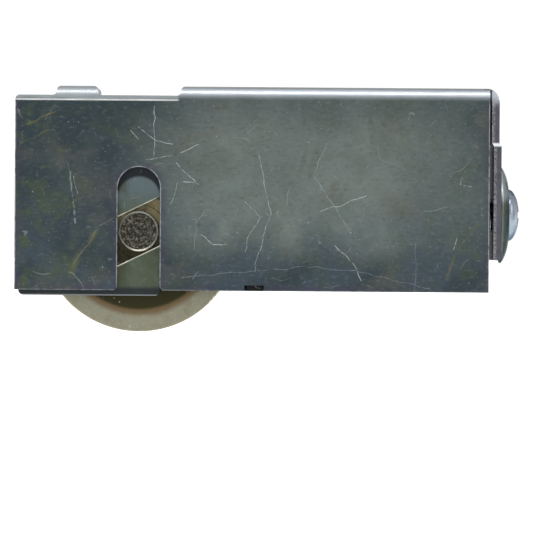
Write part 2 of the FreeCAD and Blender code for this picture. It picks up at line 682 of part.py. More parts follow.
cage_in = "inner_ring_r + cage_inset"
cage_out = "outer_ring_r - cage_inset"
for sign, name in (("-", "ball_cage_front"), ("", "ball_cage_back")):
    ends = [f"{sign}(cage_split)", f"{sign}(groove_r + cage_back)"]
    low, high = reversed(ends) if sign else ends
    ring = cut(name + "_ring", disc(name + "_blank", cage_out, low, high), [
        disc(name + "_bore", cage_in, "-ring_width", "ring_width"),
    ])
    cut(name, ring, [sphere(f"{name}_pocket_{index}", "groove_r", angle)
                     for index, angle in enumerate(angles, start=1)])

# ---------------------------------------------------------------------------------------
# Check the document, then write one file for each piece.
# ---------------------------------------------------------------------------------------
doc.recompute()
NODES = [
    "outer_housing", "inner_carriage", "adjusting_screw", "hex_nut", "dished_washer",
    "axle_bush_front", "axle_bush_back", "axle_rivet", "bearing_inner_ring", "wheel_rim",
    "bearing_outer_ring", "shield_front", "shield_back", "ball_cage_front", "ball_cage_back",
] + [f"ball_{index}" for index in range(1, BALL_COUNT + 1)]

for feature in doc.Objects:
    if "Invalid" in feature.State or "Error" in feature.State:
        raise RuntimeError(f"{feature.Name} failed: {feature.State}")
os.makedirs("parts", exist_ok=True)
for node in NODES:
    shape = doc.getObject(node).Shape
    if shape.isNull() or not shape.isValid() or len(shape.Solids) != 1:
        raise RuntimeError(f"{node} is not one valid solid")
    doc.getObject(node).Label = node
    shape.exportStep(os.path.join("parts", node + ".step"))
print(len(NODES), "pieces written")
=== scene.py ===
"""Looks of an adjustable sliding door roller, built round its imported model.

Sections follow the order of assembly: housing, carriage, nut, screw, washer, wheel, bearing,
axle, and last the floor, the light and the camera. Patterns are worked out in millimetres.
"""
import math
from functools import reduce

import bmesh
import bpy
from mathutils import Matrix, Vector


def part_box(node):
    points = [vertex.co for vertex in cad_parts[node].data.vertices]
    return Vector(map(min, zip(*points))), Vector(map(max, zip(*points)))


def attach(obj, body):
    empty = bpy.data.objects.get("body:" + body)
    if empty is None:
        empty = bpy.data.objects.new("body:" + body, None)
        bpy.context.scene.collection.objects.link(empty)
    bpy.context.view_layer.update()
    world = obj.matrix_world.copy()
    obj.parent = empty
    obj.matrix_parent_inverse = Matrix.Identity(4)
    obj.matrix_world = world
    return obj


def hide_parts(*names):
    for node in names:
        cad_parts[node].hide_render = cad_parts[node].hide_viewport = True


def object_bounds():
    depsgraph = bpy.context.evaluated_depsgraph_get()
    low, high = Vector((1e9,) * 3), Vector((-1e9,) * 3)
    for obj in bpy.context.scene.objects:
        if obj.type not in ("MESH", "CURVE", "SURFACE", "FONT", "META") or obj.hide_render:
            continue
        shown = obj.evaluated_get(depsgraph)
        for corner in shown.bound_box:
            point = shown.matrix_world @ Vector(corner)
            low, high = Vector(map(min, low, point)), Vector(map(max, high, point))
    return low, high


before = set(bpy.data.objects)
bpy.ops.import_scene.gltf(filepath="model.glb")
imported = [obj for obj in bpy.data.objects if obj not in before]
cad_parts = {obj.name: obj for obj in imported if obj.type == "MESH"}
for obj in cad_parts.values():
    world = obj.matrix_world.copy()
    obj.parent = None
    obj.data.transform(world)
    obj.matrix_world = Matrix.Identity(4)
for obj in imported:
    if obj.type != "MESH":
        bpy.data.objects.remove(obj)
cad_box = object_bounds()


# ---------------------------------------------------------------- Outer housing
# A U channel of 1.2 mm sheet steel, blanked, punched and bent, with its end flange folded
# down in one piece. It is zinc plated and passivated, which leaves a cloudy slate film with
# olive patches, scuffed and scratched by handling, and pale along the cut edges, partly
# from wear and partly from a painted highlight.

MM = 0.001


class Wire:
    """A shader socket. Arithmetic on it adds Math nodes, and node() adds any other node."""

    def __init__(self, tree, socket=None):
        self.tree, self.socket = tree, socket

    def node(self, kind, settings=None, sockets=None, output=0):
        """Adds a node of that kind, sets it up, fills its sockets and returns one output."""
        made = self.tree.nodes.new("ShaderNode" + kind)
        for name, value in (settings or {}).items():
            setattr(made, name, value)
        for name, value in (sockets or {}).items():
            if isinstance(value, Wire):
                self.tree.links.new(value.socket, made.inputs[name])
            else:
                made.inputs[name].default_value = value
        return Wire(self.tree, made.outputs[output] if len(made.outputs) else None)

    def also(self, output):
        """Another output of the same node."""
        return Wire(self.tree, self.socket.node.outputs[output])

    def math(self, operation, *values):
        return self.node("Math", {"operation": operation}, dict(enumerate(values)))

    def __add__(self, other):
        return self.math("ADD", self, other)

    def __sub__(self, other):
        return self.math("SUBTRACT", self, other)

    def __rsub__(self, other):
        return self.math("SUBTRACT", other, self)

    def __mul__(self, other):
        return self.math("MULTIPLY", self, other)

    def __lt__(self, other):
        return self.math("LESS_THAN", self, other)

    def __gt__(self, other):
        return self.math("GREATER_THAN", self, other)

    def __abs__(self):
        return self.math("ABSOLUTE", self)

    __radd__, __rmul__ = __add__, __mul__

    def axes(self):
        """The x, y and z of this place."""
        x = self.node("SeparateXYZ", {}, {0: self})
        return x, x.also(1), x.also(2)

    def hypot(self, other):
        """The distance that two offsets at right angles make."""
        return self.math("SQRT", self * self + other * other)

    def least(self, other):
        return self.math("MINIMUM", self, other)

    def most(self, other):
        return self.math("MAXIMUM", self, other)

    def vector(self, operation, *values, output=0, **sockets):
        """Vector Math on this wire."""
        return self.node("VectorMath", {"operation": operation},
                         {0: self, **dict(enumerate(values, start=1)), **sockets}, output)

    def ramp(self, low, high):
        """0 below low and 1 above high, smooth between. It falls if low is above high."""
        return self.node("MapRange", {"interpolation_type": "SMOOTHSTEP"},
                         {"Value": self, "From Min": low, "From Max": high})

    def drawn(self, share):
        """This place with x squeezed, which draws a pattern out along the roller."""
        return self.vector("MULTIPLY", (share, 1, 1))

    def noise(self, scale, detail=2.0, roughness=0.5, distortion=0.0, output=0):
        """Noise on this place, with scale in cells per millimetre."""
        return self.node("TexNoise", {}, {"Vector": self, "Scale": scale, "Detail": detail,
                                          "Roughness": roughness, "Distortion": distortion},
                         output)

    def tint(self, colour, share):
        """This colour, mixed towards another one."""
        second = colour if isinstance(colour, Wire) else (*colour, 1)
        return self.node("Mix", {"data_type": "RGBA"}, {0: share, 6: self, 7: second}, 2)


def start_finish(name):
    """A new material and the place on its piece, in millimetres."""
    material = bpy.data.materials.new(name)
    material.use_nodes = True
    material.node_tree.nodes.clear()
    here = Wire(material.node_tree)
    place = here.node("TexCoord", output="Object").vector("SCALE", Scale=1 / MM)
    return material, place


def end_finish(place, colour, roughness, relief=None, depth=0.01, **constants):
    """Ends a material in a shader. The relief runs from 0 to 1 and is depth mm deep."""
    sockets = {"Base Color": colour, "Roughness": roughness}
    sockets.update({name.replace("_", " "): value for name, value in constants.items()})
    if relief is not None:
        sockets["Normal"] = place.node("Bump", {}, {"Strength": 1.0, "Distance": depth * MM,
                                                    "Height": relief})
    shader = place.node("BsdfPrincipled", {}, sockets)
    place.node("OutputMaterial", {}, {"Surface": shader})


def plain(place, colour):
    """A colour as a wire, for tint() to start from."""
    return place.node("Mix", {"data_type": "RGBA"}, {0: 0.0, 6: (*colour, 1)}, 2)


def flecks(place, scale, size, share):
    """Small round marks, in that share of the cells."""
    cell = place.node("TexVoronoi", {}, {"Vector": place, "Scale": scale})
    chance = cell.also(1).node("SeparateColor", {}, {0: cell.also(1)})
    return cell.ramp(size, size * 0.45) * (chance > 1 - share)


def hairlines(place, scale, width, share, seed):
    """Long curved scratches that break off here and there."""
    moved = place.vector("ADD", (seed, 2 * seed, 3 * seed))
    line = abs(moved.noise(scale, 1.5, 0.4, 0.4) - 0.5).ramp(width, width * 0.3)
    return line * moved.noise(scale * 2.3, 1.0).ramp(1 - share, 1.06 - share)


def scratch(place, points, width):
    """A scratch along points (x, z) in millimetres, on a side wall."""
    marks = []
    for (x0, z0), (x1, z1) in zip(points, points[1:]):
        length = math.hypot(x1 - x0, z1 - z0)
        along = ((x1 - x0) / length, 0, (z1 - z0) / length)
        offset = place.vector("SUBTRACT", (x0, 0, z0))
        share = offset.vector("DOT_PRODUCT", along, output=1).most(0).least(length)
        foot = share.node("VectorMath", {"operation": "SCALE"}, {0: along, "Scale": share})
        gap = offset.vector("SUBTRACT", foot).vector("LENGTH", output=1)
        marks.append(gap.ramp(width, width * 0.25))
    return reduce(Wire.most, marks)


def scratches(place, paths):
    """Several scratches, each given as its points and its width."""
    return reduce(Wire.most, [scratch(place, points, width) for points, width in paths])


def corners(node):
    """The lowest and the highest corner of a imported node, in millimetres."""
    return [[round(value / MM, 3) for value in corner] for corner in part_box(node)]


def middle(node):
    """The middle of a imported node's box, in millimetres."""
    return [round((low + high) / 2, 3) for low, high in zip(*corners(node))]


def packed_copy(node):
    """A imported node's shape to work on, with its loose triangles joined."""
    shape = bmesh.new()
    shape.from_mesh(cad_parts[node].data)
    bmesh.ops.remove_doubles(shape, verts=shape.verts, dist=0.001 * MM)
    return shape


def mesh_from(name, shape):
    """The mesh of a finished shape."""
    mesh = bpy.data.meshes.new(name)
    shape.to_mesh(mesh)
    shape.free()
    return mesh


def piece_from(name, node, bevel):
    """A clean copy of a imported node, with whole flat faces and softly broken edges."""
    shape = packed_copy(node)
    bmesh.ops.dissolve_limit(shape, angle_limit=math.radians(0.6), verts=shape.verts,
                             edges=shape.edges, use_dissolve_boundaries=False)
    return finish_piece(name, mesh_from(name, shape), bevel)


def finish_piece(name, mesh, bevel, sharp=28):
    """An object for a mesh, smooth up to edges of sharp degrees, which get a small bevel."""
    mesh.materials.clear()
    piece = bpy.data.objects.new(name, mesh)
    bpy.context.scene.collection.objects.link(piece)
    for face in mesh.polygons:
        face.use_smooth = True
    mesh.set_sharp_from_angle(angle=math.radians(sharp))
    if bevel:
        edges = piece.modifiers.new("broken_edges", "BEVEL")
        edges.width, edges.segments = bevel * MM, 2
        edges.limit_method, edges.angle_limit = "ANGLE", math.radians(sharp)
        edges.use_clamp_overlap = True
    even = piece.modifiers.new("flat_faces", "WEIGHTED_NORMAL")
    even.keep_sharp, even.weight = True, 80
    return piece


(open_x, _, bottom), (flange_x, wall_out, _) = corners("outer_housing")
wheel_x, wheel_y, wheel_z = middle("wheel_rim")
half_length, sheet = -open_x, 1.2
slot_half, slot_z = 3.35, -16.075    # half the upright slot's width, and its round end's middle

housing_finish, at = start_finish("housing_zinc_film")
x, y, z = at.axes()
wall_in = wall_out - sheet - 0.1
wall, front = abs(y) > wall_in, y < -wall_in

# the film's colour: slate at the open end and low down, grey-green in the middle
slate, grey_green, drab = (0.024, 0.035, 0.041), (0.112, 0.134, 0.123), (0.086, 0.084, 0.072)
steel_blue, olive = (0.036, 0.050, 0.064), (0.046, 0.062, 0.034)
cloud = at.noise(0.075, 4.0, 0.55, 0.3)
wisps = at.noise(0.24, 3.0, 0.6, 0.8)
pale = x.ramp(-26, -3) * z.ramp(-30, -22)
pale = pale * (1 - 0.6 * x.ramp(22, 37)) * (1 - 0.45 * z.ramp(-9, -2))
pale = (pale * 0.85 + (cloud - 0.5) * 0.9 + (wisps - 0.5) * 0.25).most(0).least(1)
film = plain(at, slate).tint(grey_green, pale)
film = film.tint(drab, at.noise(0.11, 3.0, 0.55, 0.5).ramp(0.53, 0.70) * (0.35 + pale * 0.4))
film = film.tint(steel_blue, at.noise(0.13, 2.0).ramp(0.60, 0.42) * z.ramp(-16, -29) * 0.75)
ends = x.ramp(-20, -36).most(x.ramp(30, 37) * z.ramp(-22, -29))
film = film.tint(olive, at.noise(0.19, 3.0, 0.6, 1.0).ramp(0.44, 0.68) * (ends * 0.55 + 0.25))

# the film's fine mottling, drawn out along the sheet's rolling direction
dark_spot, light_spot = (0.022, 0.027, 0.025), (0.140, 0.160, 0.150)
mottle = at.drawn(0.55).noise(1.9, 5.0, 0.75)
film = film.tint(dark_spot, mottle.ramp(0.52, 0.70) * 0.40)
film = film.tint(light_spot, mottle.ramp(0.48, 0.32) * 0.22)

# purple tinge along the blanked edges, and a pale line there that is partly wear and partly a
# painted highlight
purple, worn_zinc_and_highlight = (0.040, 0.031, 0.055), (0.26, 0.28, 0.31)
slot_gap = (x - wheel_x).hypot((z - slot_z).most(0)) - slot_half
edge_gap = (half_length - abs(x)).least(z - bottom).least(slot_gap)
film = film.tint(purple, wall * edge_gap.ramp(1.4, 0.2) * wisps.ramp(0.32, 0.64) * 0.5)
worn_and_highlight = wall * edge_gap.ramp(0.20, 0.08) * at.noise(0.9, 2.0).ramp(0.25, 0.6)
film = film.tint(worn_zinc_and_highlight, worn_and_highlight * (0.35 + 0.4 * z.ramp(-31.4, -30.6)))

# painted highlight along the bends at the top and round the flange's bend, broken up by streaky
# noise
bend_highlight_tint = (0.40, 0.43, 0.47)
bend_highlight = z.ramp(-2.15, -0.85) * (abs(y) > wall_out - 2.0)
bend_highlight = bend_highlight.most((x > half_length + 0.4) * z.ramp(-2.6, -1.6))
highlight_streaks = at.drawn(0.12).noise(2.2, 3.0, 0.65)
film = film.tint(bend_highlight_tint, bend_highlight * (0.12 + 0.6 * z.ramp(-0.10, -0.60) + highlight_streaks * 0.4))

# round the wheel the top is cut away, and painted highlights lie on the walls' tops and in a
# bright line along their edge
cut_top_highlight, cut_edge_highlight, line_z = (0.30, 0.33, 0.34), (0.62, 0.64, 0.64), -2.20
cut_back = wall * x.ramp(-11.4, -12.0) * (0.2 + highlight_streaks)
film = film.tint(cut_top_highlight, (z > -2.0) * cut_back * 0.9)
film = film.tint(cut_edge_highlight, abs(z - line_z).ramp(0.20, 0.07) * cut_back)

# the pressed-in keeper tabs lie recessed, and painted shade darkens them
keeper_shade, keeper_x, keeper_half, keeper_top = (0.004, 0.004, 0.004), 0.4, 1.75, -31.1
keeper = (abs(x - keeper_x) < keeper_half) * (z < keeper_top) * (abs(y) < wall_out - 0.3)
film = film.tint(keeper_shade, keeper * 0.95)

# olive and gold streaks where the film ran at the corners
gold = (0.105, 0.100, 0.034)
waver = at.noise(0.45, 1.0, output=1).vector("SUBTRACT", (0.5, 0.5, 0.5))
flat = at.vector("ADD", waver.vector("SCALE", Scale=0.9)).vector("MULTIPLY", (1, 0, 1))
streaks = scratches(flat, [([(-36.2, -9.2), (-32.2, -7.1)], 0.22),
                           ([(-35.4, -6.0), (-31.0, -4.3)], 0.20)])
low_right = scratch(flat, [(30.6, -30.0), (32.2, -25.6), (35.6, -21.4)], 0.35)
low_left = scratch(flat, [(-28.4, -30.0), (-27.0, -26.4), (-24.6, -23.4)], 0.8)
streaks = streaks.most(low_right * 0.7).most(low_left * 0.6)
film = film.tint(gold, wall * streaks * wisps.ramp(0.30, 0.70) * 0.7)

# scratches on the front wall, then hairlines and nicks everywhere
deep = [
    ([(-18.0, -6.4), (-15.1, -8.7), (-12.5, -9.2)], 0.09),
    ([(-15.4, -3.2), (-15.3, -11.5)], 0.08),
    ([(-16.6, -11.6), (-12.6, -10.9)], 0.06),
    ([(-11.2, -10.6), (-8.4, -9.2)], 0.09),
    ([(-11.8, -12.3), (-9.9, -14.2), (-8.4, -15.5), (-10.8, -15.0)], 0.09),
    ([(-11.6, -15.2), (-12.8, -18.6)], 0.06),
    ([(1.1, -10.5), (2.3, -16.7), (3.0, -19.9), (2.1, -22.6), (0.5, -29.0)], 0.07),
    ([(-1.2, -18.2), (1.3, -20.7), (-0.6, -23.7), (-1.1, -26.1)], 0.06),
    ([(10.8, -19.6), (13.9, -18.6), (15.4, -17.9), (18.0, -17.0)], 0.09),
    ([(13.2, -25.0), (15.6, -27.4), (17.2, -30.3)], 0.09),
    ([(-8.0, -23.4), (-6.2, -24.7), (-4.0, -25.0)], 0.09),
    ([(32.8, -14.0), (32.8, -15.2), (34.8, -15.6)], 0.06),
    ([(32.3, -23.4), (31.6, -25.5)], 0.07),
    ([(-28.0, -14.4), (-27.3, -17.0)], 0.07),
    ([(-19.2, -7.0), (-18.0, -8.3)], 0.07),
]
faint = [
    ([(-11.1, -30.2), (2.5, -28.7), (10.5, -28.3), (17.1, -29.1), (28.1, -31.6)], 0.06),
    ([(-28.6, -13.6), (-27.9, -21.6)], 0.19),
    ([(-28.0, -28.2), (-23.5, -21.8), (-21.9, -20.9)], 0.06),
    ([(11.7, -8.8), (9.5, -13.9), (13.0, -18.6), (15.4, -22.9)], 0.09),
    ([(5.9, -15.6), (5.3, -18.9)], 0.07),
]
scraped = (0.36, 0.39, 0.40)
marks = scratches(flat, deep).most(scratches(flat, faint) * 0.45)
marks = marks * front * at.noise(1.7, 3.0, 0.7).ramp(0.30, 0.62)
hair = hairlines(at, 0.11, 0.004, 0.43, 3.0).most(hairlines(at, 0.26, 0.006, 0.40, 17.0))
nicks = flecks(at, 0.9, 0.12, 0.07).most(flecks(at, 2.6, 0.20, 0.09))
scuffed = marks.most(hair * 0.28).most(nicks * 0.7)
film = film.tint(scraped, scuffed * 0.7)

# the flange's sheared sides, speckled where the tool tore the zinc, rusty in places, with a
# painted highlight at the step and along the bend
sheared, torn_zinc, rust = (0.052, 0.049, 0.062), (0.23, 0.24, 0.24), (0.16, 0.10, 0.05)
step_highlight, flange_bend_highlight = (0.70, 0.74, 0.76), (0.46, 0.48, 0.50)
step, step_z = 0.35, -8.85
torn = (x > half_length + 0.2) * (abs(y) > 7.0)
inner_side = (x - step * z.ramp(-8.6, -9.0)).ramp(flange_x - 0.95, flange_x - 1.25)
speckle = at.noise(5.0, 2.0, 0.7).ramp(0.42, 0.60)
film = film.tint(sheared, torn * 0.9)
film = film.tint(torn_zinc, torn * inner_side * speckle * 0.7)
film = film.tint(rust, torn * at.noise(2.6, 2.0).ramp(0.62, 0.70) * 0.6)
film = film.tint(step_highlight, torn * abs(z - step_z).ramp(0.40, 0.10) * 0.8)
film = film.tint(flange_bend_highlight, torn * z.ramp(-3.0, -1.2) * 0.7)

# the flange's inner face, which no light reaches
unlit = (0.008, 0.008, 0.009)
inside = (x > half_length + 0.1) * (x < flange_x - 1.05) * (abs(y) < 7.2) * (z < -1.9)
film = film.tint(unlit, inside)

roughness = 0.34 + (cloud - 0.5) * 0.16 + at.noise(1.8, 3.0) * 0.08 + scuffed * 0.12
roughness = roughness.most(inside * 0.9)
grain = at.drawn(0.25).noise(5.0, 2.0) * 0.30 - scuffed * 0.55
end_finish(at, film, roughness, grain, 0.012, Metallic=1.0, Coat_Weight=0.12,
           Coat_Roughness=0.18)

housing = piece_from("housing_channel", "outer_housing", 0.11)
housing.data.materials.append(housing_finish)
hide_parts("outer_housing")
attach(housing, "housing")


# ---------------------------------------------------------------- Inner carriage
# A strip of the same sheet, bent to a U in plan. Its inclined slots lift the axle, and its
# end wall holds the nut. The plating is greener and has seen less handling.

carriage_finish, at = start_finish("carriage_zinc_film")
x, _, z = at.axes()
sage, blue_grey, moss = (0.056, 0.073, 0.052), (0.075, 0.100, 0.109), (0.040, 0.046, 0.027)
tan, skirt_shadow, skirt_edge_highlight = (0.100, 0.100, 0.078), (0.012, 0.014, 0.019), (0.17, 0.18, 0.19)
cloud = at.noise(0.12, 4.0, 0.6, 0.5)
film = plain(at, sage).tint(blue_grey, z.ramp(-21, -15))
film = film.tint(moss, cloud.ramp(0.48, 0.66) * 0.8)
film = film.tint(tan, at.noise(0.5, 3.0, 0.6).ramp(0.56, 0.70) * 0.5)
# painted shadow on the skirt below the housing's bottom edge, and a painted highlight along the
# skirt's own bottom edge
film = film.tint(skirt_shadow, z.ramp(-31.3, -32.1) * 0.85)
film = film.tint(skirt_edge_highlight, z.ramp(-32.74, -32.9) * 0.8)

# painted shadow under the round end of the housing's upright slot, cast onto the carriage
slot_shadow, slot_shadow_drop = (0.008, 0.008, 0.010), 1.5
aside = x - wheel_x
under = slot_half - aside.hypot(z - slot_z + slot_shadow_drop)
shadowed = under.ramp(0.30, -0.25) * z.ramp(slot_z - 1.6, slot_z)
film = film.tint(slot_shadow, shadowed * abs(aside).ramp(slot_half + 0.5, slot_half + 0.1) * 0.92)

# the inclined slots' edges, burnished by the axle's necks
burnished, slope, ramp_half = (0.60, 0.58, 0.48), math.radians(26), 3.41
ramp_x, ramp_length = -14.1, 22
beside = aside * math.sin(slope) - (z - wheel_z) * math.cos(slope)
rim = abs(abs(beside) - ramp_half).ramp(0.26, 0.10)
rim = rim * abs(x - ramp_x).ramp(ramp_length / 2, ramp_length / 2 - 1)
film = film.tint(burnished, rim * cloud.ramp(0.30, 0.60) * 0.8)

# nicks and hairlines from handling
nicked = (0.28, 0.30, 0.29)
nicks = flecks(at, 1.3, 0.17, 0.07).most(hairlines(at, 0.22, 0.008, 0.42, 29.0) * 0.6)
film = film.tint(nicked, nicks * 0.5)
roughness = 0.35 + (cloud - 0.5) * 0.18 + at.noise(2.0, 3.0) * 0.08 + nicks * 0.1
grain = at.drawn(0.25).noise(5.0, 2.0) * 0.35 - nicks * 0.5
end_finish(at, film, roughness, grain, 0.012, Metallic=1.0, Coat_Weight=0.10,
           Coat_Roughness=0.2)

carriage = piece_from("carriage_strip", "inner_carriage", 0.11)
carriage.data.materials.append(carriage_finish)
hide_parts("inner_carriage")
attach(carriage, "carriage")


# ---------------------------------------------------------------- Hex nut
# A cold-formed nut in bright zinc, chamfered on both faces, with its flats faintly drawn
# along the screw. It sits in the carriage, which keeps it from turning.

nut_finish, at = start_finish("nut_bright_zinc")
bright_zinc, lilac, straw = (0.66, 0.67, 0.71), (0.56, 0.54, 0.62), (0.50, 0.52, 0.36)
drawn_line = (0.34, 0.35, 0.38)
lines = at.drawn(0.15).noise(2.4, 3.0, 0.6)
film = plain(at, bright_zinc).tint(lilac, at.noise(0.45, 2.0).ramp(0.45, 0.68) * 0.6)
film = film.tint(straw, at.noise(0.8, 2.0).ramp(0.62, 0.75) * 0.6)
film = film.tint(drawn_line, lines.ramp(0.56, 0.72) * 0.5)
end_finish(at, film, 0.20 + lines * 0.16, lines, 0.006, Metallic=1.0)

nut = piece_from("nut_hexagon", "hex_nut", 0.09)
nut.data.materials.append(nut_finish)
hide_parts("hex_nut")
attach(nut, "carriage")


# ---------------------------------------------------------------- Adjusting screw
# A long machine screw with a rolled thread up to its low domed head, which has a cross
# recess. Bright zinc, with painted shade darkening the thread's roots.

screw_z = middle("hex_nut")[2]
tip_x, head_x = corners("adjusting_screw")[0][0], corners("dished_washer")[1][0]
thread_pitch, crest_r, root_r = 25.4 / 32, 2.415, 1.94
steps, point_length, overlap = 36, 0.5, 0.05
first_x = tip_x - thread_pitch
turns = math.ceil((head_x - first_x) / thread_pitch) + 1

# one turn of the thread in section, as (share of the pitch, radius), wound along the screw
shape = bmesh.new()
profile = [(0, root_r), (0.06, root_r), (0.42, crest_r - 0.03), (0.46, crest_r),
           (0.54, crest_r), (0.58, crest_r - 0.03), (0.94, root_r), (1, root_r)]
line = [shape.verts.new(((first_x + share * thread_pitch) * MM, 0, (screw_z + radius) * MM))
        for share, radius in profile]
edges = [shape.edges.new(pair) for pair in zip(line, line[1:])]
bmesh.ops.spin(shape, geom=line + edges, cent=(0, 0, screw_z * MM), axis=(1, 0, 0),
               dvec=(thread_pitch / steps * MM, 0, 0), angle=math.tau * turns,
               steps=steps * turns, use_merge=False)
bmesh.ops.remove_doubles(shape, verts=shape.verts, dist=0.004 * MM)
for cut_x, outwards in ((tip_x, -1), (head_x + overlap, 1)):
    bmesh.ops.bisect_plane(shape, geom=shape.verts[:] + shape.edges[:] + shape.faces[:],
                           dist=0.0005 * MM, plane_co=(cut_x * MM, 0, 0),
                           plane_no=(outwards, 0, 0), clear_outer=True)
bmesh.ops.holes_fill(shape, edges=[e for e in shape.edges if e.is_boundary], sides=0)

# the point: what stands out past a cone of 45 degrees at the tip is drawn in to it
for vertex in shape.verts:
    reach = crest_r - point_length + (vertex.co.x / MM - tip_x)
    spoke = Vector((0, vertex.co.y, vertex.co.z - screw_z * MM))
    if spoke.length > reach * MM:
        vertex.co -= spoke * (1 - reach * MM / spoke.length)
bmesh.ops.recalc_face_normals(shape, faces=shape.faces)
thread = finish_piece("screw_thread", mesh_from("screw_thread", shape), 0, sharp=50)

# the head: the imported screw, cut off just inside the thread's end
shape = packed_copy("adjusting_screw")
bmesh.ops.bisect_plane(shape, geom=shape.verts[:] + shape.edges[:] + shape.faces[:],
                       plane_co=((head_x - overlap) * MM, 0, 0), plane_no=(-1, 0, 0),
                       clear_outer=True)
bmesh.ops.holes_fill(shape, edges=[e for e in shape.edges if e.is_boundary], sides=0)
bmesh.ops.dissolve_limit(shape, angle_limit=math.radians(0.6), verts=shape.verts,
                         edges=shape.edges)
head = finish_piece("screw_head", mesh_from("screw_head", shape), 0.07)

screw_finish, at = start_finish("screw_bright_zinc")
silver, pewter, root_shade = (0.42, 0.46, 0.49), (0.15, 0.18, 0.21), (0.20, 0.20, 0.19)
amber, blue_bloom, speck = (0.72, 0.58, 0.38), (0.14, 0.17, 0.22), (0.80, 0.80, 0.80)
x, y, z = at.axes()
radius = y.hypot(z - screw_z)
cloud = at.noise(0.5, 3.0)
film = plain(at, silver).tint(pewter, cloud.ramp(0.47, 0.60) * 0.85)
on_thread = x < head_x
# painted shade in the thread's roots
film = film.tint(root_shade, on_thread * radius.ramp(2.30, 2.05) * 0.8)
film = film.tint(amber, on_thread * at.noise(0.9, 2.0).ramp(0.62, 0.74) * 0.5)
film = film.tint(blue_bloom, (1 - on_thread) * radius.ramp(2.9, 4.0) * 0.7)
specks = flecks(at, 1.6, 0.15, 0.08)
film = film.tint(speck, specks * 0.6)
end_finish(at, film, 0.22 + cloud * 0.12 + specks * 0.1, at.noise(3.0, 3.0), 0.006,
           Metallic=1.0, Specular_Tint=(0.30, 0.33, 0.37, 1))

for part in (head, thread):
    part.data.materials.append(screw_finish)
    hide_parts("adjusting_screw")
    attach(part, "screw")


# ---------------------------------------------------------------- Dished washer
# A loose pressed dome of sheet steel between the screw's head and the flange. It is zinc
# plated green-grey, with painted light on its top and painted shade below, and brown patches and
# specks.

washer_finish, at = start_finish("washer_zinc")
lit_top, shaded_green = (0.30, 0.33, 0.33), (0.048, 0.058, 0.053)
patch, speck = (0.10, 0.11, 0.09), (0.40, 0.42, 0.42)
_, _, z = at.axes()
cloud = at.noise(0.4, 3.0, 0.6)
# painted light on the washer's top, painted shade below
film = plain(at, lit_top).tint(shaded_green, (z - screw_z).ramp(3.4, 1.0) * 0.9)
film = film.tint(patch, cloud.ramp(0.48, 0.62) * 0.8)
film = film.tint(speck, flecks(at, 1.4, 0.16, 0.10) * 0.6)
end_finish(at, film, 0.27 + cloud * 0.14, at.noise(2.5, 3.0), Metallic=1.0,
           Specular_Tint=(0.30, 0.33, 0.34, 1))

washer = piece_from("washer_dome", "dished_washer", 0.08)
washer.data.materials.append(washer_finish)
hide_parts("dished_washer")
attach(washer, "housing")


# ---------------------------------------------------------------- Wheel
# Turned from steel bar, with a half-round groove for the rail, and plated in pale yellow
# zinc. The groove is burnished by the rail, the sides stay matt and speckled.

(_, near_y, _), (far_x, far_y, _) = corners("wheel_rim")
wheel_r, land_half = far_x - wheel_x, (far_y - near_y) / 2

wheel_finish, at = start_finish("wheel_yellow_zinc")
x, y, z = at.axes()
across, radius = y - wheel_y, (z - wheel_z).hypot(x - wheel_x)
side = abs(across).ramp(land_half - 0.12, land_half - 0.02)
land = radius.ramp(wheel_r - 0.20, wheel_r - 0.06)
turned = at.node("CombineXYZ", {}, {0: radius, 1: across}).noise(3.2, 3.0, 0.6)
mottle = at.noise(0.55, 4.0, 0.65)
yellow_zinc, turned_ring, tarnish = (0.50, 0.42, 0.27), (0.66, 0.60, 0.46), (0.40, 0.30, 0.17)
land_grey, nicked = (0.36, 0.33, 0.23), (0.44, 0.42, 0.35)
film = plain(at, yellow_zinc).tint(turned_ring, turned.ramp(0.42, 0.66))
film = film.tint(tarnish, mottle.ramp(0.56, 0.74) * 0.5)
film = film.tint(land_grey, land * 0.75)

# the matt sides, with painted shade round the hub: a dark disc and a brown ring outside it,
# standing in for the skirt's shadow
khaki, brown_khaki, pale_khaki = (0.200, 0.195, 0.145), (0.155, 0.138, 0.088), (0.25, 0.25, 0.20)
brown_shade_ring, hub_shade_disc, corner = (0.105, 0.066, 0.026), (0.019, 0.021, 0.010), (0.10, 0.10, 0.07)
matt = plain(at, khaki).tint(brown_khaki, mottle.ramp(0.48, 0.70) * 0.7)
matt = matt.tint(pale_khaki, at.noise(2.2, 3.0).ramp(0.50, 0.66) * 0.5)
matt = matt.tint(brown_shade_ring, radius.ramp(13.8, 12.7) * 0.8)
matt = matt.tint(hub_shade_disc, radius.ramp(12.7, 12.0) * 0.9)
matt = matt.tint(corner, radius.ramp(wheel_r - 0.28, wheel_r - 0.10) * 0.6)
film = film.tint(matt, side)
nicks = flecks(at, 1.2, 0.20, 0.10).most(hairlines(at, 0.25, 0.008, 0.40, 41.0) * 0.5)
film = film.tint(nicked, nicks * 0.5)
roughness = 0.24 + mottle * 0.10 + side * 0.24 + nicks * 0.08
end_finish(at, film, roughness, turned * 0.5 + mottle * 0.3 - nicks * 0.4, Metallic=1.0)

wheel = piece_from("wheel_grooved", "wheel_rim", 0.06)
wheel.data.materials.append(wheel_finish)
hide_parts("wheel_rim")
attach(wheel, "wheel")


# ---------------------------------------------------------------- Bearing
# Nine hardened balls between two ground rings, held apart by a brass cage in two halves
# and closed by thin pressed shields. It sits inside the wheel.

def steel_finish(name, colour, dark, roughness):
    """Plain ground or pressed metal, with faint stains and turning marks."""
    material, place = start_finish(name)
    stain = place.noise(0.7, 3.0, 0.6)
    film = plain(place, colour).tint(dark, stain.ramp(0.45, 0.70) * 0.7)
    film = film.tint(dark, flecks(place, 2.0, 0.15, 0.10) * 0.5)
    end_finish(place, film, roughness + stain * 0.12, place.noise(4.0, 2.0), 0.006,
               Metallic=1.0)
    return material


